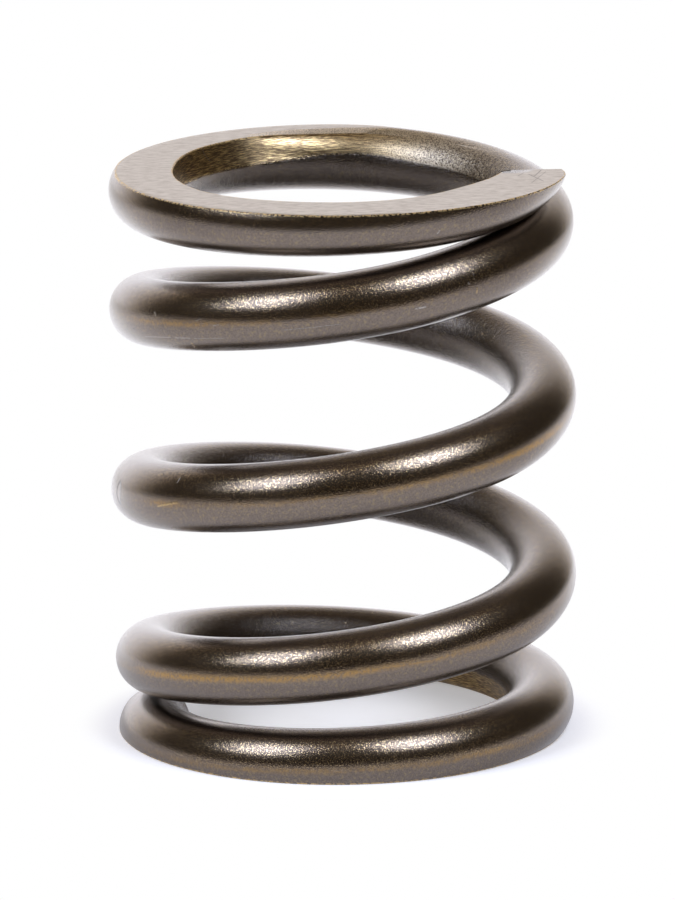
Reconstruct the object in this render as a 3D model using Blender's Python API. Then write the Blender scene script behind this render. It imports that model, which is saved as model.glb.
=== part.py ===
"""Bump stop spring: a short, stiff compression spring coiled from one round wire.

It is right-handed, with closed and ground ends. The wire starts at the bottom
tip, makes one closed coil, climbs through the free coils at an even pitch and
closes down again on the last of them. Both ends are then ground flat, which
thins the wire towards its tips, and the bore gets a steep chamfer at each end.

Metres, +Z up. The origin is where the spring's axis meets the bottom face.
"""
import math

import bpy
import bmesh
from mathutils import Vector

# Sizes of the winding
OUTSIDE_DIAMETER = 0.0508           # over the closed end coils
WIRE_DIAMETER = 0.0074
FREE_LENGTH = 0.0632                # from one ground face to the other
TOTAL_TURNS = 4.52
START_ANGLE = math.radians(166.0)   # of the bottom tip, about +Z from +X
MIDDLE_SWELL = 0.0003               # the free coils open out by this at mid length

# Sizes of the closed ends
COIL_CLEARANCE = 0.0004             # between each tip and the coil that it lies on
TIP_PITCH_SHARE = 0.88              # how closely a tip follows the rise of that coil
TIP_TUCK = 0.0003                   # each tip is wound in by this
TIP_TUCK_TURNS = 0.35               # over this much of the wire

# Sizes of the grinding
TIP_THICKNESS = 0.00265             # wire left under the ground face at each tip
CHAMFER_WIDTH = 0.0007              # of the bore chamfer, measured across the face
CHAMFER_ANGLE = math.radians(15.0)  # between the chamfer and the spring's axis

# Fineness of the mesh
RINGS_PER_TURN = 40
WIRE_SIDES = 24
SHARP_EDGE_ANGLE = math.radians(24.0)

# Finish of the wire: dark bronze-brown steel
WIRE_COLOUR = (0.155, 0.130, 0.105, 1.0)
WIRE_ROUGHNESS = 0.34
WIRE_METALLIC = 1.0

# Sizes that follow from those above
wire_radius = WIRE_DIAMETER / 2
end_coil_radius = OUTSIDE_DIAMETER / 2 - wire_radius
chamfer_radius = end_coil_radius - wire_radius + CHAMFER_WIDTH
tip_height = TIP_THICKNESS - wire_radius
end_coil_rise = WIRE_DIAMETER + COIL_CLEARANCE
free_turns = TOTAL_TURNS - 2
free_pitch = (FREE_LENGTH - 2 * (tip_height + end_coil_rise)) / free_turns
tip_pitch = TIP_PITCH_SHARE * free_pitch
side_angle = 2 * math.pi / WIRE_SIDES


def end_coil_height(turn):
    """Height of the wire's centre in a closed coil, counted in turns from its tip.

    A cubic curve: it leaves the tip beside the coil that it lies on, flattens
    out across the ground face and joins the free coils at their own pitch.
    """
    cubed = tip_pitch + free_pitch - 2 * end_coil_rise
    squared = end_coil_rise - tip_pitch - cubed
    return tip_height + turn * (tip_pitch + turn * (squared + turn * cubed))


def centre_height(turn):
    """Height of the wire's centre, counted in turns from the bottom tip."""
    turns_left = TOTAL_TURNS - turn
    if turn < 1:
        return end_coil_height(turn)
    if turns_left < 1:
        return FREE_LENGTH - end_coil_height(turns_left)
    return tip_height + end_coil_rise + free_pitch * (turn - 1)


def centre_radius(turn):
    """Radius of the winding: tucked in at the tips, slightly barrelled between."""
    from_tip = min(turn, TOTAL_TURNS - turn)
    tuck = max(0.0, 1 - from_tip / TIP_TUCK_TURNS) ** 2
    swell = math.sin(math.pi * max(0.0, from_tip - 1) / free_turns)
    return end_coil_radius - TIP_TUCK * tuck + MIDDLE_SWELL * swell


def centre_point(turn):
    """Point on the wire's centre line."""
    angle = START_ANGLE + 2 * math.pi * turn
    radius = centre_radius(turn)
    return Vector((radius * math.cos(angle), radius * math.sin(angle), centre_height(turn)))


def wire_section(radius, face_level, rise_cosine):
    """Section of the wire beside an end, as pairs (outward, towards the face).

    It goes round the drawn surface from the inner edge of the ground face to
    its outer edge, with the bore chamfer taken off on the way, and back across
    the face. Away from the grinding the two edges rest on the full circle, one
    side from its crown, so that all sections join up point to point.
    """
    crown_limit = wire_radius * math.cos(side_angle)
    edge_level = min(face_level, crown_limit)
    edge_width = math.sqrt(wire_radius ** 2 - edge_level ** 2)

    # The chamfer is the line: across = chamfer_offset + chamfer_slope * level
    chamfer_slope = math.tan(CHAMFER_ANGLE) * rise_cosine
    chamfer_offset = chamfer_radius - radius - chamfer_slope * face_level

    points = []
    start = math.atan2(edge_level, -edge_width) % (2 * math.pi)
    sweep = 2 * math.pi + math.atan2(edge_level, edge_width) - start
    arc_sides = WIRE_SIDES - 2
    for i in range(arc_sides + 1):
        angle = start + sweep * i / arc_sides
        level = wire_radius * math.sin(angle)
        across = max(wire_radius * math.cos(angle), chamfer_offset + chamfer_slope * level)
        points.append((across, level))

    middle = (points[0][0] + points[-1][0]) / 2
    points.append((middle, min(face_level, math.sqrt(wire_radius ** 2 - middle ** 2))))
    return points


def wire_ring(turn):
    """Section of the wire in space, counted in turns from the bottom tip."""
    centre = centre_point(turn)
    step = 0.001
    along = (centre_point(turn + step) - centre_point(turn - step)).normalized()
    outward = along.cross(Vector((0.0, 0.0, 1.0))).normalized()
    upward = outward.cross(along)

    if turn < TOTAL_TURNS / 2:
        # The bottom end is the same section upside down, matched side for side
        section = wire_section(centre_radius(turn), centre.z / upward.z, upward.z)
        first = WIRE_SIDES // 2 - 2
        section = [section[(first - i) % WIRE_SIDES] for i in range(WIRE_SIDES)]
        section = [(across, -level) for across, level in section]
    else:
        face_level = (FREE_LENGTH - centre.z) / upward.z
        section = wire_section(centre_radius(turn), face_level, upward.z)
    return [centre + outward * across + upward * level for across, level in section]


def build_spring_mesh():
    """Sweep of the section from tip to tip, closed by a cut face at each tip."""
    mesh_builder = bmesh.new()
    ring_count = round(TOTAL_TURNS * RINGS_PER_TURN)
    rings = []
    for i in range(ring_count + 1):
        ring = wire_ring(TOTAL_TURNS * i / ring_count)
        rings.append([mesh_builder.verts.new(point) for point in ring])

    for ring, next_ring in zip(rings, rings[1:]):
        for i in range(WIRE_SIDES):
            j = (i + 1) % WIRE_SIDES
            mesh_builder.faces.new((ring[i], next_ring[i], next_ring[j], ring[j]))
    mesh_builder.faces.new(rings[0])
    mesh_builder.faces.new(reversed(rings[-1]))

    mesh = bpy.data.meshes.new("coil_spring")
    mesh_builder.to_mesh(mesh)
    mesh_builder.free()
    mesh.shade_smooth()
    mesh.set_sharp_from_angle(angle=SHARP_EDGE_ANGLE)
    return mesh


def build_wire_material():
    """Dark spring steel with a satin sheen."""
    material = bpy.data.materials.new("spring_steel")
    material.use_nodes = True
    shader = material.node_tree.nodes["Principled BSDF"]
    shader.inputs["Base Color"].default_value = WIRE_COLOUR
    shader.inputs["Roughness"].default_value = WIRE_ROUGHNESS
    shader.inputs["Metallic"].default_value = WIRE_METALLIC
    return material


def build_part():
    """The spring, alone in the scene."""
    for old_object in list(bpy.data.objects):
        bpy.data.objects.remove(old_object, do_unlink=True)
    spring = bpy.data.objects.new("coil_spring", build_spring_mesh())
    spring.data.materials.append(build_wire_material())
    bpy.context.scene.collection.objects.link(spring)


build_part()
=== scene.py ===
import math

import bpy
from mathutils import Matrix, Vector


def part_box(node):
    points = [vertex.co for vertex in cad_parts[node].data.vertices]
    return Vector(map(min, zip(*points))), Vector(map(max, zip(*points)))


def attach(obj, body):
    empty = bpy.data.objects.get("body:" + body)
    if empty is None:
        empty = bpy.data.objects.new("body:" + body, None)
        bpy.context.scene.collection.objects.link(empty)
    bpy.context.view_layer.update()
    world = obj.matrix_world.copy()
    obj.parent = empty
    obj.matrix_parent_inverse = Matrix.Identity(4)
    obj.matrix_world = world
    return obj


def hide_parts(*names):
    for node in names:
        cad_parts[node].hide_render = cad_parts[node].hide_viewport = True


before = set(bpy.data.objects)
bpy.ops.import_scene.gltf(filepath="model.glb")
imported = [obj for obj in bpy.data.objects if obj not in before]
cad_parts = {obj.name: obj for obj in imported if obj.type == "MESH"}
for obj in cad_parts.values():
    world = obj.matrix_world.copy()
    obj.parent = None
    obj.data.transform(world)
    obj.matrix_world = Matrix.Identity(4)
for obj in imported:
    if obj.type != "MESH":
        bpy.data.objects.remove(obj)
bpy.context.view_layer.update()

# Bump stop spring: one length of round wire, coiled, with both ends closed and ground.
# Everything is in metres, +Z up. The spring stands on z = 0 and its axis is the Z axis.

cadLow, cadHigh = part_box("coil_spring")
print("frame loaded")

millimetres = 1000   # in a metre
noiseMean = 0.5      # of every noise below


# The winding

winding = {
    "outsideDiameter": 0.0508,   # over the closed coils
    "wireDiameter": 0.0074,
    "freeLength": cadHigh[2] - cadLow[2],
    "turns": 4.52,
    "startAngle": 166.0,         # degrees about +Z from +X, where the bottom tip is cut
    "middleSwell": 0.00025,      # the free coils open out by this
    "tipThickness": 0.00265,     # wire left under the ground face at a tip
    "coilClearance": 0.0004,     # from a tip to the coil it lies on
    "tipPitchShare": 0.88,
    "tipTuck": 0.0003,           # a tip is wound in by this, over tipTuckTurns
    "tipTuckTurns": 0.35,
    # where this spring strays from an even pitch: (turn, reach in turns, lift)
    "strays": [
        (0.00, 0.12, 0.00065),
        (0.30, 0.20, -0.00020),
        (1.06, 0.22, 0.00055),
        (1.45, 0.08, -0.00018),
        (2.44, 0.09, -0.00026),
        (2.62, 0.30, 0.00055),
        (3.10, 0.25, 0.00045),
        (3.44, 0.10, 0.00034),
        (4.06, 0.15, 0.00010),
        (4.40, 0.11, -0.00030),
    ],
    "narrowTurn": 0.50,          # the bottom coil is a hair tighter here
    "narrowReach": 0.30,
    "narrowBy": 0.00015,
}

wireRadius = winding["wireDiameter"] / 2
closedRadius = winding["outsideDiameter"] / 2 - wireRadius
turns = winding["turns"]
tipHeight = winding["tipThickness"] - wireRadius
closedRise = winding["wireDiameter"] + winding["coilClearance"]
freeTurns = turns - 2
freePitch = (winding["freeLength"] - 2 * (tipHeight + closedRise)) / freeTurns
tipPitch = winding["tipPitchShare"] * freePitch


def bump(x, middle, reach):
    return math.exp(-((x - middle) / reach) ** 2)


def ease(x, start, end):   # 0 at start, 1 at end, smooth between
    x = min(1.0, max(0.0, (x - start) / (end - start)))
    return x * x * (3 - 2 * x)


def closedHeight(turn):   # wire centre in a closed coil, counted from its tip
    cubed = tipPitch + freePitch - 2 * closedRise
    squared = closedRise - tipPitch - cubed
    return tipHeight + turn * (tipPitch + turn * (squared + turn * cubed))


def centreHeight(turn):
    if turn < 1:
        height = closedHeight(turn)
    elif turns - turn < 1:
        height = winding["freeLength"] - closedHeight(turns - turn)
    else:
        height = tipHeight + closedRise + freePitch * (turn - 1)
    for middle, reach, lift in winding["strays"]:
        height += lift * bump(turn, middle, reach)
    return height


def centreRadius(turn):
    fromTip = min(turn, turns - turn)
    tuck = winding["tipTuck"] * max(0.0, 1 - fromTip / winding["tipTuckTurns"]) ** 2
    swell = winding["middleSwell"] * math.sin(math.pi * max(0.0, fromTip - 1) / freeTurns)
    narrow = winding["narrowBy"] * bump(turn, winding["narrowTurn"], winding["narrowReach"])
    return closedRadius - tuck + swell - narrow


def centrePoint(turn):
    angle = math.radians(winding["startAngle"] + 360 * turn)
    radius = centreRadius(turn)
    return Vector((radius * math.cos(angle), radius * math.sin(angle), centreHeight(turn)))


# The ground ends

grinding = {
    "faceHeight": 0.063013,      # of the top face on the axis
    "faceSlopeX": 0.001,         # it was ground a little out of square
    "faceSlopeY": 0.007,
    "edgeBreak": 0.00009,        # flat on the sharp edges
    # The bore's edge is brushed to a steep flat that reaches this far below the face
    "flatDepth": 0.0029,
    "flatFromTip": (0.14, 0.29),    # turns from a tip over which it comes in
    "flatToTurn": (0.655, 0.735),   # and over which it gets round again
    "shoulderLead": 0.05,           # its upper edge does so this much earlier
    # Where it gets round, the face's inner edge is rounded off too
    "shoulderFromTip": (0.63, 0.73),
    "shoulderToTurn": (0.78, 0.90),
    "shoulderDrop": 0.00032,
    "shoulderWidth": 0.0016,
    "shoulderCurve": 1.15,
    "shoulderBrushed": 0.75,
    "brushToTurn": (0.66, 1.10),   # the brushing fades out further on
    "brushRise": (0.735, 0.055, 0.00060),   # the brushing's lower border is higher here
    # Where the face's inner edge strays from the round wire: (turns from a tip, reach, outward)
    "innerStrays": [
        (0.36, 0.055, 0.00050),
        (0.50, 0.055, -0.00045),
    ],
    "bulge": 0.00085,            # the tip's inner side is spread by this
    "bulgeTurn": 0.09,
    "bulgeReach": 0.055,
    "cutSkew": 0.11,             # the cut across the wire is this far from square
    "cutSkewTurns": 0.02,
    "innerCorner": 0.0009,       # corners rounded off at the cut
    "innerCornerTurns": 0.010,
    "outerCorner": 0.00075,
    "outerCornerTurns": 0.021,
}

# Where the coils are rubbed along their outermost line: (turn, reach in turns, strength)
rubs = [
    (0.25, 0.15, 0.50),
    (0.42, 0.08, 0.45),
    (1.15, 0.05, 0.60),
    (1.26, 0.15, 0.90),
    (2.15, 0.02, 0.80),
    (2.25, 0.06, 0.45),
    (2.33, 0.05, 0.45),
    (2.43, 0.06, 1.00),
    (3.16, 0.06, 0.60),
    (3.27, 0.09, 0.40),
]

# How finely the wire is meshed
meshing = {
    "ringsPerTurn": 180,
    "outerSides": 14,            # in each half of a section, round its outer side
    "faceSides": 12,             # across the ground face
    "faceCrowding": 1.5,         # these get closer towards its inner edge
    "flatSides": 9,              # down the brushed flat
    "flatLeast": 0.0012,         # which they reach down to where there is no flat
    "innerSides": 8,             # and on round the inner side
    "crownAngle": 10,            # degrees from the wire's crown to the face's edges, if not ground
    "outerSeam": 30,             # degrees by which the halves' seams shift towards each end
    "innerSeam": 55,
    "sharpAngle": 28,            # degrees between faces that meet in a sharp edge
}

barelyGround = 0.97 * wireRadius   # above this level the face is only a narrow strip
barelyDropped = 0.000004           # below this the shoulder doesn't show
farFromBrushing = 0.001            # gap given to points that are never brushed


def topPlane(x, y):
    return grinding["faceHeight"] + grinding["faceSlopeX"] * x + grinding["faceSlopeY"] * y


def circleWidth(height):   # half the round wire's width at a height above its centre
    return math.sqrt(max(0.0, wireRadius ** 2 - height ** 2))


def halfSection(level, tilt, fromTip, outerStart, innerEnd):
    # One half of the wire's section, from its outer side over the ground face and the
    # brushed flat to its inner side. Where there is no grinding the same points lie on
    # the full circle, so all rings match point to point.
    # Each point is (outward, towards the face, gap to the brushing's border, gap to an
    # edge, how much it is brushed).
    edgeLevel = min(level, wireRadius * math.cos(math.radians(meshing["crownAngle"])))
    edgeBreak = grinding["edgeBreak"]
    flatDepth = grinding["flatDepth"] * ease(fromTip, *grinding["flatFromTip"])
    brushing = 1 - ease(fromTip, *grinding["brushToTurn"])
    innerEdge = -circleWidth(edgeLevel)
    for middle, reach, outward in grinding["innerStrays"]:
        innerEdge += outward * bump(fromTip, middle, reach)
    flatEnd = edgeLevel - flatDepth
    flatEndWidth = -circleWidth(flatEnd)
    middle, reach, rise = grinding["brushRise"]
    brushEnd = flatEnd + rise * bump(fromTip, middle, reach)
    shoulder = ease(fromTip, *grinding["shoulderFromTip"])
    shoulder -= ease(fromTip, *grinding["shoulderToTurn"])
    shoulder = grinding["shoulderDrop"] * max(0.0, shoulder)

    def innerSide(height):
        circle = -circleWidth(height)
        if height <= flatEnd or flatDepth == 0:
            return circle
        share = (height - flatEnd) / flatDepth
        line = flatEndWidth + (innerEdge - flatEndWidth) * share
        flatness = 1 - ease(fromTip + grinding["shoulderLead"] * share, *grinding["flatToTurn"])
        return circle + (line - circle) * flatness

    def addPoint(across, height, canBeBrushed, brushed=brushing):
        toOuterEdge = math.hypot(across - outerEdge, height - edgeLevel)
        toInnerEdge = math.hypot(across - innerEdge, height - edgeLevel)
        edgeGap = min(toOuterEdge, toInnerEdge) + max(0.0, level - edgeLevel)
        brushGap = brushEnd - height if canBeBrushed else farFromBrushing
        points.append((across, height, brushGap, edgeGap, brushed))

    def addInnerSide(start, end, sides, skipped=0):   # from one angle to another
        for i in range(skipped, sides + 1):
            height = wireRadius * math.sin(math.radians(start + (end - start) * i / sides))
            addPoint(innerSide(height), height, True)

    points = []
    outerEdge = circleWidth(edgeLevel)
    lastAngle = math.degrees(math.asin(edgeLevel / wireRadius)) - math.degrees(edgeBreak / wireRadius)
    for i in range(meshing["outerSides"] + 1):
        angle = math.radians(outerStart + (lastAngle - outerStart) * i / meshing["outerSides"])
        addPoint(wireRadius * math.cos(angle), wireRadius * math.sin(angle), False)

    first = outerEdge - edgeBreak
    last = innerSide(edgeLevel - shoulder) + edgeBreak
    faceBrushing = min(brushing, grinding["shoulderBrushed"])
    for i in range(meshing["faceSides"] + 1):
        share = (1 - i / meshing["faceSides"]) ** meshing["faceCrowding"]
        across = last + (first - last) * share
        height = level + tilt * across
        if level > barelyGround:
            height = min(height, circleWidth(across))
        nearness = max(0.0, 1 - (across - last) / grinding["shoulderWidth"])
        drop = shoulder * nearness ** grinding["shoulderCurve"]
        addPoint(across, height - drop, drop > barelyDropped, faceBrushing)

    breakLevel = edgeLevel - shoulder - edgeBreak
    breakAngle = 180 - math.degrees(math.asin(breakLevel / wireRadius))
    middleLevel = edgeLevel - max(flatDepth, meshing["flatLeast"])
    middleAngle = 180 - math.degrees(math.asin(max(-1.0, middleLevel / wireRadius)))
    addInnerSide(breakAngle, middleAngle, meshing["flatSides"])
    addInnerSide(middleAngle, innerEnd, meshing["innerSides"], 1)
    return points


def wireRing(turn):
    # Each point of the ring is (its place, its side of the wire, its finish)
    centre = centrePoint(turn)
    step = 0.001
    along = (centrePoint(turn + step) - centrePoint(turn - step)).normalized()
    outward = along.cross(Vector((0, 0, 1))).normalized()
    upward = outward.cross(along)
    share = 2 * turn / turns - 1   # -1 at the bottom tip, 1 at the top tip
    outerJoin = -meshing["outerSeam"] * share
    innerJoin = 180 + meshing["innerSeam"] * share

    tilt = (grinding["faceSlopeX"] * outward.x + grinding["faceSlopeY"] * outward.y) / upward.z
    topLevel = (topPlane(centre.x, centre.y) - centre.z) / upward.z
    upper = halfSection(topLevel, tilt, turns - turn, outerJoin, innerJoin)
    lower = halfSection(centre.z / upward.z, 0.0, turn, -outerJoin, 360 - innerJoin)
    section = upper + [(point[0], -point[1], *point[2:]) for point in reversed(lower)][1:-1]

    fromTip = min(turn, turns - turn)
    tipSide = 1 if turn > turns / 2 else -1
    skew = grinding["cutSkew"] * tipSide * max(0.0, 1 - fromTip / grinding["cutSkewTurns"])
    bulge = grinding["bulge"] * bump(fromTip, grinding["bulgeTurn"], grinding["bulgeReach"])
    inner = max(0.0, 1 - fromTip / grinding["innerCornerTurns"]) ** 2 * grinding["innerCorner"]
    outer = max(0.0, 1 - fromTip / grinding["outerCornerTurns"]) ** 2 * grinding["outerCorner"]

    ring = []
    for across, level, brushGap, edgeGap, brushing in section:
        side = across / wireRadius
        moved = across + side * (bulge - inner) if side < 0 else across - side * outer
        point = centre + outward * moved + upward * level + along * (skew * across)
        top = topPlane(point.x, point.y)
        point.z = min(max(point.z, 0.0), top)
        faceGap = min(top - point.z, point.z)
        gaps = (faceGap * millimetres, brushGap * millimetres, edgeGap * millimetres)
        ring.append((point, (side, level / wireRadius, turn), (*gaps, brushing)))
    return ring


def buildSpringMesh():
    ringCount = round(turns * meshing["ringsPerTurn"])
    points = []
    wireSide = []
    finishing = {"groundGap": [], "brushGap": [], "edgeGap": [], "brushing": [], "rub": []}
    for i in range(ringCount + 1):
        turn = turns * i / ringCount
        rub = sum(strength * bump(turn, middle, reach) for middle, reach, strength in rubs)
        for point, side, values in wireRing(turn):
            points.append(point)
            wireSide.extend(side)
            for name, value in zip(finishing, (*values, min(1.0, rub))):
                finishing[name].append(value)
    sides = len(points) // (ringCount + 1)

    faces = []
    for i in range(ringCount):
        a = i * sides
        for j in range(sides):
            k = (j + 1) % sides
            faces.append((a + j, a + sides + j, a + sides + k, a + k))
    faces.append(tuple(range(sides)))
    faces.append(tuple(reversed(range(ringCount * sides, (ringCount + 1) * sides))))

    mesh = bpy.data.meshes.new("springWire")
    mesh.from_pydata(points, [], faces)
    mesh.attributes.new("wireSide", "FLOAT_VECTOR", "POINT").data.foreach_set("vector", wireSide)
    for name, values in finishing.items():
        mesh.attributes.new(name, "FLOAT", "POINT").data.foreach_set("value", values)
    mesh.shade_smooth()
    mesh.set_sharp_from_angle(angle=math.radians(meshing["sharpAngle"]))
    mesh.validate()
    return mesh


# Finish of the steel. A pair of limits says where a pattern or a zone begins and where
# it is full, and two more numbers are its strengths there. Scales are in repeats per metre.

finish = {
    "wireColour": (0.240, 0.189, 0.145),   # as peened
    "wireDark": (0.110, 0.084, 0.063),
    "wireMean": (0.182, 0.145, 0.112),
    "evenness": 0.5,             # how near the colour keeps to the mean below the golden band
    "wireRoughness": 0.25,
    "roughnessDrift": 0.02,
    "driftScale": 70.0,
    "grainSize": 0.00014,        # of the peening
    "grainDepth": 0.000019,
    "grainLimits": (0.38, 0.62),
    "blotchScale": 1900.0,
    "blotchDepth": 0.3,          # as a share of the grain's depth, as are all depths below
    "speckScale": 3600.0,
    "patchColour": (0.27, 0.205, 0.115),   # faint spots below the outermost line
    "patchLimits": (0.55, 0.68),
    "patchStrength": 0.8,
    "innerShade": 0.65,          # painted shade: the coils' inner side is darker by this factor
    "innerShadeLimits": (-0.2, -0.8),   # outward, from 1 at the outermost line to -1
    "innerDepthLimits": (-0.2, -0.7, 1.0, 3.0),
    "film": 0.6,                 # oil and oxide film: stronger at a glancing angle
    "filmRoughness": 0.20,

    # Golden tint and flecks in a band above the outermost line: partly the steel's gold grain, partly
    # painted glints where the lamps catch it, fading to the sides
    "goldenTint": (1.03, 0.945, 0.79),
    "fleckColour": (0.58, 0.43, 0.22),
    "fleckLimits": (0.57, 0.69),
    "goldenLow": (-0.10, 0.25),  # upward, from -1 at the bottom of the wire to 1 at its top
    "goldenHigh": (0.97, 0.75),
    "goldenInner": (-0.15, 0.20),
    "goldenSideways": (0.0220, 0.0150, 0.25, 1.0),   # to the left and right of the axis, where the painted glints fade

    # Gold rub mark along the outermost line
    "streakColour": (0.365, 0.216, 0.060),
    "streakReach": 10.5,         # degrees round the wire
    "streakWander": 16.0,
    "wanderScale": (0.0, 0.0, 9.0),   # outward, upward and per turn
    "rubScale": (5.0, 5.0, 22.0),
    "rubLimits": (0.32, 0.56),   # of the patches that it breaks into
    "rubSpecks": (0.32, 0.56, 0.3, 1.0),
    "rubWhole": (0.5, 1.0),      # a strong rub has no gaps

    # Ground faces, with the grinding lines along X, and their burred edges
    "groundColour": (0.49, 0.43, 0.355),
    "groundDark": (0.31, 0.252, 0.185),
    "groundRoughness": 0.36,
    "groundLimits": (0.012, 0.002),   # millimetres from the face
    "lineScale": (650.0, 3200.0, 650.0),
    "lineLimits": (0.34, 0.60),
    "lineDepth": 0.7,
    "burrColour": (0.78, 0.56, 0.25),
    "burrRoughness": 0.55,
    "burrWidth": (0.24, 0.11),   # millimetres from the edge
    "burrLimits": (0.42, 0.56),
    "scratchColour": (0.12, 0.09, 0.06),
    "scratchStrength": 0.8,

    # Brushed bore. Further on the brushing only speckles the wire
    "brushedColour": (0.96, 0.69, 0.31),
    "brushedDark": (0.22, 0.145, 0.078),
    "brushedRoughness": 0.28,
    "brushedLimits": (0.42, 0.68),
    "brushedBorder": (0.25, -0.15),   # millimetres above its lower end
    "borderRagged": 0.55,
    "borderRise": 0.9,           # as the brushing fades
    "wornLimits": (0.2, 0.8),
    "brushLines": (95.0, 8500.0),   # per turn, and per metre of height
    "brushDepth": 1.4,
    "fadingLimits": (1.0, 0.65),
    "speckledColour": (0.70, 0.57, 0.39),
    "speckledDark": (0.17, 0.125, 0.082),
    "speckledRoughness": 0.54,
    "speckledLimits": (0.34, 0.58),
}

turnLength = 2 * math.pi * closedRadius * millimetres   # of the wire

# Small marks that this spring has picked up, as strokes with a half width in millimetres.
# On the wire a place is (turn, degrees round the wire from its outermost line).
wireMarks = {
    "pale": [
        ((3.125, -31.5), (3.155, -28.5), 0.05),
        ((3.160, -29.0), (3.174, -29.0), 0.06),
        ((3.178, -29.0), (3.204, -28.3), 0.05),
        ((3.247, -17.0), (3.287, -16.3), 0.045),
        ((3.1433, 15.4), (3.1448, 9.4), 0.08),
        ((3.1839, 4.3), (3.1875, 7.7), 0.07),
        ((3.1975, -4.3), (3.2015, -2.6), 0.08),
        ((3.3385, -11.5), (3.3447, -12.0), 0.12),
        ((3.3788, 9.4), (3.3792, 8.0), 0.09),
        ((3.3843, 23.1), (3.3838, 13.0), 0.04),
        ((2.4988, 64.3), (2.4994, 64.0), 0.09),
        ((2.1623, 35.0), (2.1633, 49.0), 0.03),
        ((4.3554, -26.0), (4.3566, -20.0), 0.08),
        ((3.9384, 136.3), (3.9375, 148.0), 0.04),
        ((3.9375, 148.0), (3.9323, 162.0), 0.04),
    ],
    "gold": [
        ((2.1447, -6.0), (2.1648, 3.4), 0.13),
        ((3.1724, -41.0), (3.1719, -53.0), 0.09),
        ((3.3849, -3.4), (3.3843, -12.0), 0.09),
        ((2.6380, 144.0), (2.6386, 144.0), 0.09),
        ((4.0237, 158.6), (4.0243, 160.0), 0.17),
    ],
    "pits": [
        ((3.0815, 51.4), (3.0820, 51.4), 0.10),
        ((3.0996, 55.7), (3.1001, 55.7), 0.10),
        ((3.1131, -18.0), (3.1136, -18.0), 0.10),
        ((4.4532, -9.4), (4.4538, -9.4), 0.11),
    ],
}
markColours = {
    "pale": (0.40, 0.365, 0.32),
    "gold": (0.52, 0.36, 0.15),
    "pits": (0.035, 0.028, 0.022),
}
markGrain = (0.30, 0.55, 0.1, 0.9)   # the grain breaks the marks up
markDepth = 0.8
strokeEdge = (1.3, 0.5)              # a stroke fades out between these half widths
scar = {   # a shallow oval dent at the left of the middle coil
    "place": (2.083, 4.0),
    "halfLength": 0.62,          # along the wire and round it, in millimetres
    "halfWidth": 1.25,
    "colour": (0.26, 0.215, 0.18),
    "limits": (1.0, 0.85),       # from 1 on the oval to 0 in its middle
    "rimInner": (0.70, 0.90),
    "rimOuter": (1.25, 1.0),
    "rimStrength": 0.8,
    "dentLimits": (1.1, 0.6),
    "depth": 3.0,
}
# Scratches on the top face near the tip, in millimetres from the axis
faceScratches = [
    ((20.4, -4.9), (21.9, -8.5), 0.09),
    ((21.0, -5.9), (21.8, -2.8), 0.08),
    ((19.2, -5.8), (20.0, -3.7), 0.06),
    ((22.3, -3.6), (20.6, -9.4), 0.05),
]


def addNode(tree, kind, **settings):
    node = tree.nodes.new(kind)
    for name, value in settings.items():
        setattr(node, name, value)
    return node


def plug(tree, value, socket):   # a link, a colour or a number into a socket
    if isinstance(value, bpy.types.NodeSocket):
        tree.links.new(value, socket)
    elif isinstance(value, tuple) and socket.type == "RGBA":
        socket.default_value = (*value, 1.0)
    else:
        socket.default_value = value


def calculate(tree, operation, first, second=0.0):
    node = addNode(tree, "ShaderNodeMath", operation=operation)
    plug(tree, first, node.inputs[0])
    plug(tree, second, node.inputs[1])
    return node.outputs[0]


def multiply(tree, first, second):
    return calculate(tree, "MULTIPLY", first, second)


def add(tree, first, second):
    return calculate(tree, "ADD", first, second)


def subtract(tree, first, second):
    return calculate(tree, "SUBTRACT", first, second)


def ramp(tree, value, start, end, low=0.0, high=1.0):   # smooth step of a value
    node = addNode(tree, "ShaderNodeMapRange", interpolation_type="SMOOTHSTEP")
    plug(tree, value, node.inputs["Value"])
    node.inputs["From Min"].default_value = start
    node.inputs["From Max"].default_value = end
    node.inputs["To Min"].default_value = low
    node.inputs["To Max"].default_value = high
    return node.outputs["Result"]


def noise(tree, vector, scale, detail=2.0, roughness=0.5):
    node = addNode(tree, "ShaderNodeTexNoise")
    plug(tree, vector, node.inputs["Vector"])
    node.inputs["Scale"].default_value = scale
    node.inputs["Detail"].default_value = detail
    node.inputs["Roughness"].default_value = roughness
    return node.outputs["Fac"]


def mixColour(tree, share, first, second, blend="MIX"):
    node = addNode(tree, "ShaderNodeMix", data_type="RGBA", blend_type=blend)
    plug(tree, share, node.inputs[0])
    plug(tree, first, node.inputs[6])
    plug(tree, second, node.inputs[7])
    return node.outputs[2]


def mixValue(tree, share, first, second):
    node = addNode(tree, "ShaderNodeMix", data_type="FLOAT")
    plug(tree, share, node.inputs[0])
    plug(tree, first, node.inputs[2])
    plug(tree, second, node.inputs[3])
    return node.outputs[0]


def attribute(tree, name, output="Fac"):
    return addNode(tree, "ShaderNodeAttribute", attribute_name=name).outputs[output]


def combine(tree, x, y, z=0.0):
    node = addNode(tree, "ShaderNodeCombineXYZ")
    for value, socket in zip((x, y, z), node.inputs):
        plug(tree, value, socket)
    return node.outputs[0]


def separate(tree, vector, axes):
    node = addNode(tree, "ShaderNodeSeparateXYZ")
    plug(tree, vector, node.inputs[0])
    return [node.outputs[axis] for axis in axes]


def combineVectors(tree, operation, first, second, output="Vector"):
    node = addNode(tree, "ShaderNodeVectorMath", operation=operation)
    plug(tree, first, node.inputs[0])
    plug(tree, second, node.inputs[1])
    return node.outputs[output]


def stretch(tree, vector, x, y, z):
    return combineVectors(tree, "MULTIPLY", vector, (x, y, z))


def lengthOf(tree, vector):
    return combineVectors(tree, "LENGTH", vector, (0.0, 0.0, 0.0), "Value")


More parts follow.
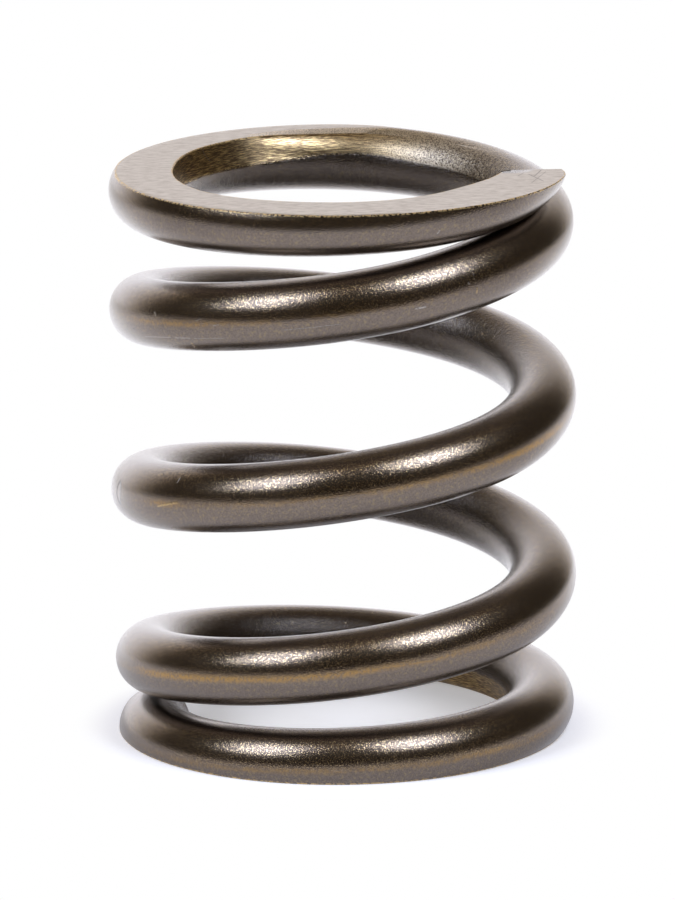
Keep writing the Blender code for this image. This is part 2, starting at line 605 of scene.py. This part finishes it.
def strokes(tree, place, marks):   # 1 on any of the strokes, 0 beside them
    covered = 0.0
    for start, end, halfWidth in marks:
        start = Vector((*start, 0.0))
        along = Vector((*end, 0.0)) - start
        offset = combineVectors(tree, "SUBTRACT", place, start)
        share = combineVectors(tree, "DOT_PRODUCT", offset, along / along.length_squared, "Value")
        share = calculate(tree, "MINIMUM", calculate(tree, "MAXIMUM", share, 0.0), 1.0)
        nearest = combineVectors(tree, "MULTIPLY", combine(tree, share, share), along)
        gap = combineVectors(tree, "DISTANCE", offset, nearest, "Value")
        stroke = ramp(tree, gap, *[halfWidth * edge for edge in strokeEdge])
        covered = calculate(tree, "MAXIMUM", covered, stroke)
    return covered


def onWire(place):   # (turn, degrees round the wire) in millimetres along and round it
    return (place[0] * turnLength, math.radians(place[1]) * wireRadius * millimetres)


def steelFields(tree):   # the places and patterns that the steel's looks depend on
    place = addNode(tree, "ShaderNodeTexCoord").outputs["Object"]
    wireSide = attribute(tree, "wireSide", "Vector")
    outward, upward, turn = separate(tree, wireSide, "XYZ")
    x, z = separate(tree, place, "XZ")
    grain = noise(tree, place, 1 / finish["grainSize"], detail=1.0)
    specks = noise(tree, place, finish["speckScale"], detail=1.0)
    linePlace = stretch(tree, place, *finish["lineScale"])
    lines = noise(tree, linePlace, 1.0, detail=3.0, roughness=0.7)
    perTurn, perMetre = finish["brushLines"]
    brushPlace = combine(tree, multiply(tree, turn, perTurn), multiply(tree, z, perMetre))
    brushLines = noise(tree, brushPlace, 1.0, detail=3.0, roughness=0.7)
    angle = calculate(tree, "ARCTAN2", upward, outward)
    alongWire = multiply(tree, turn, turnLength)
    roundWire = multiply(tree, angle, wireRadius * millimetres)

    # Where the surface is ground, burred, brushed or as peened
    brushing = attribute(tree, "brushing")
    burr = ramp(tree, attribute(tree, "edgeGap"), *finish["burrWidth"])
    flecked = subtract(tree, specks, noiseMean)
    border = multiply(tree, subtract(tree, 1.0, brushing), finish["borderRise"])
    ragged = multiply(tree, flecked, finish["borderRagged"])
    border = add(tree, border, add(tree, attribute(tree, "brushGap"), ragged))
    brushed = ramp(tree, border, *finish["brushedBorder"])
    worn = ramp(tree, add(tree, brushing, flecked), *finish["wornLimits"])
    return {
        "place": place,
        "wireSide": wireSide,
        "outward": outward,      # 1 on the outermost line, -1 on the innermost
        "upward": upward,        # 1 at the top of the wire, -1 at its bottom
        "sideways": calculate(tree, "ABSOLUTE", x),
        "angle": angle,
        "wirePlace": combine(tree, alongWire, roundWire),
        "grain": grain,
        "specks": specks,
        "lines": lines,
        "brushLines": brushLines,
        "ground": ramp(tree, attribute(tree, "groundGap"), *finish["groundLimits"]),
        "burr": multiply(tree, burr, ramp(tree, specks, *finish["burrLimits"])),
        "brushed": multiply(tree, brushed, worn),
        "fading": ramp(tree, brushing, *finish["fadingLimits"]),
    }


def peenedColourWithGlints(tree, fields):   # golden flecks above the outermost line, greyer below; the golden band is partly painted glints
    golden = multiply(tree, ramp(tree, fields["upward"], *finish["goldenLow"]),
                      ramp(tree, fields["upward"], *finish["goldenHigh"]))
    golden = multiply(tree, golden, ramp(tree, fields["outward"], *finish["goldenInner"]))
    golden = multiply(tree, golden, ramp(tree, fields["sideways"], *finish["goldenSideways"]))
    grain = ramp(tree, fields["grain"], *finish["grainLimits"])
    wireColour = mixColour(tree, grain, finish["wireDark"], finish["wireColour"])
    # painted glints: a warm tint and light flecks on the upper outer side, partly the steel's gold
    # grain
    goldenColour = mixColour(tree, 1.0, wireColour, finish["goldenTint"], "MULTIPLY")
    flecks = ramp(tree, fields["grain"], *finish["fleckLimits"])
    goldenColour = mixColour(tree, flecks, goldenColour, finish["fleckColour"])
    greyColour = mixColour(tree, finish["evenness"], wireColour, finish["wireMean"])
    patches = ramp(tree, fields["specks"], *finish["patchLimits"])
    patches = multiply(tree, patches, finish["patchStrength"])
    greyColour = mixColour(tree, patches, greyColour, finish["patchColour"])
    return mixColour(tree, golden, greyColour, goldenColour)


def rubbedAndShadedColour(tree, fields, colour):   # with the gold rub mark, and painted shade darkening the inner side
    wander = stretch(tree, fields["wireSide"], *finish["wanderScale"])
    wander = noise(tree, wander, 1.0, detail=3.0, roughness=0.6)
    wander = multiply(tree, subtract(tree, wander, noiseMean), math.radians(finish["streakWander"]))
    fromStreak = calculate(tree, "ABSOLUTE", subtract(tree, fields["angle"], wander))
    nearStreak = ramp(tree, fromStreak, math.radians(finish["streakReach"]), 0.0)
    patches = stretch(tree, fields["wireSide"], *finish["rubScale"])
    patches = noise(tree, patches, 1.0, detail=3.0, roughness=0.65)
    patches = ramp(tree, patches, *finish["rubLimits"])
    rub = attribute(tree, "rub")
    patches = mixValue(tree, ramp(tree, rub, *finish["rubWhole"]), patches, 1.0)
    rubbed = multiply(tree, multiply(tree, nearStreak, patches), rub)
    rubbed = multiply(tree, rubbed, ramp(tree, fields["specks"], *finish["rubSpecks"]))
    colour = mixColour(tree, rubbed, colour, finish["streakColour"])
    # painted shade: the inner side is darkened towards black
    inside = ramp(tree, fields["outward"], *finish["innerShadeLimits"], 0.0, 1 - finish["innerShade"])
    return mixColour(tree, inside, colour, (0.0, 0.0, 0.0))


def groundColour(tree, fields):
    lines = ramp(tree, fields["lines"], *finish["lineLimits"])
    colour = mixColour(tree, lines, finish["groundDark"], finish["groundColour"])
    facePlace = stretch(tree, fields["place"], millimetres, millimetres, 0.0)
    scratched = multiply(tree, strokes(tree, facePlace, faceScratches), finish["scratchStrength"])
    return mixColour(tree, scratched, colour, finish["scratchColour"])


def brushedColour(tree, fields):   # brushed round the bore, then only speckled
    fading = fields["fading"]
    dark = mixColour(tree, fading, finish["brushedDark"], finish["speckledDark"])
    light = mixColour(tree, fading, finish["brushedColour"], finish["speckledColour"])
    lines = ramp(tree, fields["brushLines"], *finish["brushedLimits"])
    speckles = ramp(tree, fields["grain"], *finish["speckledLimits"])
    return mixColour(tree, mixValue(tree, fading, lines, speckles), dark, light)


def markedColour(tree, fields, colour):   # with the small marks, and how far they stand out
    marked = 0.0
    grain = ramp(tree, fields["grain"], *markGrain)
    for kind, marks in wireMarks.items():
        marks = [(onWire(start), onWire(end), halfWidth) for start, end, halfWidth in marks]
        covered = multiply(tree, strokes(tree, fields["wirePlace"], marks), grain)
        colour = mixColour(tree, covered, colour, markColours[kind])
        marked = calculate(tree, "SUBTRACT" if kind == "pits" else "ADD", marked, covered)

    middle = Vector((*onWire(scar["place"]), 0.0))
    toScar = combineVectors(tree, "SUBTRACT", fields["wirePlace"], middle)
    toScar = stretch(tree, toScar, 1 / scar["halfLength"], 1 / scar["halfWidth"], 0.0)
    toScar = lengthOf(tree, toScar)
    colour = mixColour(tree, ramp(tree, toScar, *scar["limits"]), colour, scar["colour"])
    rim = multiply(tree, ramp(tree, toScar, *scar["rimInner"]), ramp(tree, toScar, *scar["rimOuter"]))
    rim = multiply(tree, rim, scar["rimStrength"])
    colour = mixColour(tree, rim, colour, markColours["pits"])
    dent = multiply(tree, ramp(tree, toScar, *scar["dentLimits"]), scar["depth"])
    return colour, subtract(tree, marked, dent)


def steelRoughness(tree, fields):
    drift = noise(tree, fields["place"], finish["driftScale"])
    smoothest = finish["wireRoughness"] - finish["roughnessDrift"]
    roughest = finish["wireRoughness"] + finish["roughnessDrift"]
    brushed = mixValue(tree, fields["fading"], finish["brushedRoughness"], finish["speckledRoughness"])
    rough = mixValue(tree, drift, smoothest, roughest)
    rough = mixValue(tree, fields["brushed"], rough, brushed)
    rough = mixValue(tree, fields["ground"], rough, finish["groundRoughness"])
    return mixValue(tree, fields["burr"], rough, finish["burrRoughness"])


def steelRelief(tree, fields, marked):
    blotches = noise(tree, fields["place"], finish["blotchScale"], roughness=0.55)
    height = add(tree, fields["grain"], multiply(tree, blotches, finish["blotchDepth"]))
    height = multiply(tree, height, ramp(tree, fields["outward"], *finish["innerDepthLimits"]))
    brushed = mixValue(tree, fields["fading"], fields["brushLines"], fields["grain"])
    brushed = multiply(tree, brushed, finish["brushDepth"])
    height = mixValue(tree, fields["brushed"], height, brushed)
    height = add(tree, height, multiply(tree, marked, markDepth))
    lines = multiply(tree, fields["lines"], finish["lineDepth"])
    height = mixValue(tree, fields["ground"], height, lines)
    relief = addNode(tree, "ShaderNodeBump")
    relief.inputs["Strength"].default_value = 1.0
    relief.inputs["Distance"].default_value = finish["grainDepth"]
    plug(tree, height, relief.inputs["Height"])
    return relief.outputs["Normal"]


def buildSteel():
    steel = bpy.data.materials.new("springSteel")
    steel.use_nodes = True
    tree = steel.node_tree
    shader = tree.nodes["Principled BSDF"]
    fields = steelFields(tree)

    colour = rubbedAndShadedColour(tree, fields, peenedColourWithGlints(tree, fields))
    colour = mixColour(tree, fields["brushed"], colour, brushedColour(tree, fields))
    colour, marked = markedColour(tree, fields, colour)
    colour = mixColour(tree, fields["ground"], colour, groundColour(tree, fields))
    colour = mixColour(tree, fields["burr"], colour, finish["burrColour"])
    plug(tree, colour, shader.inputs["Base Color"])
    shader.inputs["Metallic"].default_value = 1.0
    plug(tree, steelRoughness(tree, fields), shader.inputs["Roughness"])

    # Bare steel has no film
    bare = multiply(tree, fields["brushed"], subtract(tree, 1.0, fields["fading"]))
    bare = calculate(tree, "MAXIMUM", fields["ground"], bare)
    plug(tree, mixValue(tree, bare, finish["film"], 0.0), shader.inputs["Coat Weight"])
    shader.inputs["Coat Roughness"].default_value = finish["filmRoughness"]

    relief = steelRelief(tree, fields, marked)
    plug(tree, relief, shader.inputs["Normal"])
    plug(tree, relief, shader.inputs["Coat Normal"])
    return steel


def buildSpring():
    spring = bpy.data.objects.new("springWire", buildSpringMesh())
    spring.data.materials.append(buildSteel())
    bpy.context.scene.collection.objects.link(spring)
    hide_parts("coil_spring")
    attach(spring, "root")
    print("spring built,", len(spring.data.polygons), "faces")


buildSpring()


# Studio: a white table before a white backdrop, and two soft boxes above the front

studio = {
    "tableFront": 0.19,          # from the spring's axis to the table's front edge
    "tableSize": 1.6,
    "tableDrop": 0.00002,        # it lies this far below the spring
    "tableColour": (0.85, 0.80, 0.765),
    "seenGlow": 0.50,            # of the table as the camera sees it
    "tableGlow": 0.28,           # and as the spring reflects it
    "backGlow": 0.80,            # the lit backdrop brightens the table behind the spring
    "backFrom": (-0.02, 0.12),   # over this stretch of it
    "sideShade": 0.24,           # and the room darkens it towards the sides
    "sideFrom": (0.05, 0.25),
    "nearShade": 0.45,           # and the spring itself darkens it close by
    "nearFrom": (0.028, 0.045),  # from the axis
    "boreGlow": (0.018, 0.028, 0.4, 1.0),   # and more so inside the bore
    "ringShade": 0.17,           # the contact shadow round the bottom coil
    "ringInner": (0.006, 0.018),
    "ringOuter": (0.030, 0.022),
    "nearTable": (0.0256, 0.0305),   # beyond this the table is plain white to the camera
    "backdrop": 1.45,
    "backdropTint": (0.945, 0.935, 1.0),
    "backdropTurn": -11.0,       # degrees that it stands round to the left
    "backdropSides": (0.54, 0.95),   # parts of the direction, from 0 across to 1 straight on
    "backdropTop": (0.90, 0.50),
    "roomTint": (1.0, 0.83, 0.62),
    "room": 0.075,               # the dark room round the camera's side
    "above": 0.28,
    "aboveFrom": (0.75, 0.97),
    # (azimuth, elevation, width and height in degrees, strength)
    "softBoxes": [
        (-55.0, 46.0, 26.0, 29.0, 6.6),
        (46.0, 53.5, 25.0, 27.0, 8.3),
    ],
    "boxColour": (0.775, 0.895, 1.19),
    "boxDistance": 0.7,
}


def buildPaper():
    paper = bpy.data.materials.new("whiteTable")
    paper.use_nodes = True
    tree = paper.node_tree
    tree.nodes.remove(tree.nodes["Principled BSDF"])
    rays = addNode(tree, "ShaderNodeLightPath")
    place = addNode(tree, "ShaderNodeTexCoord").outputs["Object"]
    x, y = separate(tree, place, "XY")
    fromAxis = lengthOf(tree, place)

    # As the spring reflects it
    light = ramp(tree, y, *studio["backFrom"], studio["tableGlow"], studio["backGlow"])
    sideways = calculate(tree, "ABSOLUTE", x)
    shade = ramp(tree, sideways, *studio["sideFrom"], 0.0, studio["sideShade"])
    light = calculate(tree, "MAXIMUM", subtract(tree, light, shade), 0.0)
    nearLight = ramp(tree, fromAxis, *studio["nearFrom"], 1 - studio["nearShade"], 1.0)
    light = multiply(tree, light, nearLight)
    light = multiply(tree, light, ramp(tree, fromAxis, *studio["boreGlow"]))
    light = multiply(tree, rays.outputs["Is Glossy Ray"], light)

    # As the camera sees it near the spring
    contact = multiply(tree, ramp(tree, fromAxis, *studio["ringInner"]),
                       ramp(tree, fromAxis, *studio["ringOuter"]))
    contact = multiply(tree, contact, studio["ringShade"])
    seen = subtract(tree, studio["seenGlow"], contact)
    light = mixValue(tree, rays.outputs["Is Camera Ray"], light, seen)

    matt = addNode(tree, "ShaderNodeBsdfDiffuse")
    plug(tree, studio["tableColour"], matt.inputs["Color"])
    glow = addNode(tree, "ShaderNodeEmission")
    plug(tree, light, glow.inputs["Strength"])
    near = addNode(tree, "ShaderNodeAddShader")
    plug(tree, matt.outputs[0], near.inputs[0])
    plug(tree, glow.outputs[0], near.inputs[1])

    # Far from the spring the camera sees plain white
    far = ramp(tree, fromAxis, *studio["nearTable"])
    white = addNode(tree, "ShaderNodeEmission")
    both = addNode(tree, "ShaderNodeMixShader")
    plug(tree, multiply(tree, far, rays.outputs["Is Camera Ray"]), both.inputs[0])
    plug(tree, near.outputs[0], both.inputs[1])
    plug(tree, white.outputs[0], both.inputs[2])
    plug(tree, both.outputs[0], tree.nodes["Material Output"].inputs["Surface"])
    return paper


def buildTable():
    half = studio["tableSize"] / 2
    front = studio["tableFront"]
    mesh = bpy.data.meshes.new("table")
    corners = [(-half, -front, 0), (half, -front, 0), (half, half, 0), (-half, half, 0)]
    mesh.from_pydata(corners, [], [(0, 1, 2, 3)])
    table = bpy.data.objects.new("table", mesh)
    table.location.z = -studio["tableDrop"]
    table.data.materials.append(buildPaper())
    bpy.context.scene.collection.objects.link(table)


def buildWorld():
    world = bpy.data.worlds.new("studio")
    bpy.context.scene.world = world
    world.use_nodes = True
    tree = world.node_tree
    surround = tree.nodes["Background"]
    direction = addNode(tree, "ShaderNodeTexCoord").outputs["Generated"]
    turned = addNode(tree, "ShaderNodeVectorRotate", rotation_type="Z_AXIS")
    plug(tree, direction, turned.inputs["Vector"])
    turned.inputs["Angle"].default_value = math.radians(studio["backdropTurn"])
    ahead, up = separate(tree, turned.outputs[0], "YZ")
    behind = ramp(tree, ahead, *studio["backdropSides"])
    low = ramp(tree, up, *studio["backdropTop"])
    back = mixValue(tree, low, studio["above"], studio["backdrop"])
    high = ramp(tree, up, *studio["aboveFrom"])
    front = mixValue(tree, high, studio["room"], studio["above"])
    light = mixValue(tree, behind, front, back)
    tint = mixColour(tree, behind, studio["roomTint"], studio["backdropTint"])
    camera = addNode(tree, "ShaderNodeLightPath").outputs["Is Camera Ray"]
    plug(tree, mixColour(tree, camera, tint, (1.0, 1.0, 1.0)), surround.inputs["Color"])
    plug(tree, mixValue(tree, camera, light, 1.0), surround.inputs["Strength"])


def sizeAcross(degrees):   # of a soft box that the spring sees this wide
    return 2 * studio["boxDistance"] * math.tan(math.radians(degrees / 2))


def buildSoftBoxes():
    middle = Vector((0, 0, winding["freeLength"] / 2))
    for i, (azimuth, elevation, width, height, strength) in enumerate(studio["softBoxes"]):
        a = math.radians(azimuth)
        e = math.radians(elevation)
        toBox = Vector((math.sin(a) * math.cos(e), -math.cos(a) * math.cos(e), math.sin(e)))
        light = bpy.data.lights.new("softBox" + str(i + 1), "AREA")
        light.shape = "RECTANGLE"
        light.size = sizeAcross(width)
        light.size_y = sizeAcross(height)
        light.energy = strength * math.pi * light.size * light.size_y
        light.color = studio["boxColour"]
        box = bpy.data.objects.new(light.name, light)
        box.location = middle + toBox * studio["boxDistance"]
        box.rotation_euler = (middle - box.location).to_track_quat("-Z", "Y").to_euler()
        box.visible_camera = False
        bpy.context.scene.collection.objects.link(box)


# The camera stands where the photograph was taken from

cameraPlace = {
    "elevation": 13.493,         # degrees above the table
    "distance": 0.9051,
    "lens": 328.9,               # millimetres, on a sensor this wide
    "sensor": 36,
    "roll": -0.569,
    "target": (-0.00066, 0.0, 0.03124),
    "clipStart": 0.01,
}


def buildCamera():
    data = bpy.data.cameras.new("camera")
    data.lens = cameraPlace["lens"]
    data.sensor_width = cameraPlace["sensor"]
    data.clip_start = cameraPlace["clipStart"]
    camera = bpy.data.objects.new("camera", data)
    elevation = math.radians(cameraPlace["elevation"])
    toTarget = Vector((0, math.cos(elevation), -math.sin(elevation)))
    place = Vector(cameraPlace["target"]) - cameraPlace["distance"] * toTarget
    tilt = Matrix.Rotation(math.pi / 2 - elevation, 4, "X")
    roll = Matrix.Rotation(math.radians(cameraPlace["roll"]), 4, "Z")
    camera.matrix_world = Matrix.Translation(place) @ tilt @ roll
    bpy.context.scene.collection.objects.link(camera)
    bpy.context.scene.camera = camera


buildTable()
buildWorld()
buildSoftBoxes()
buildCamera()
bpy.context.scene.view_settings.view_transform = "Standard"
print("studio built")
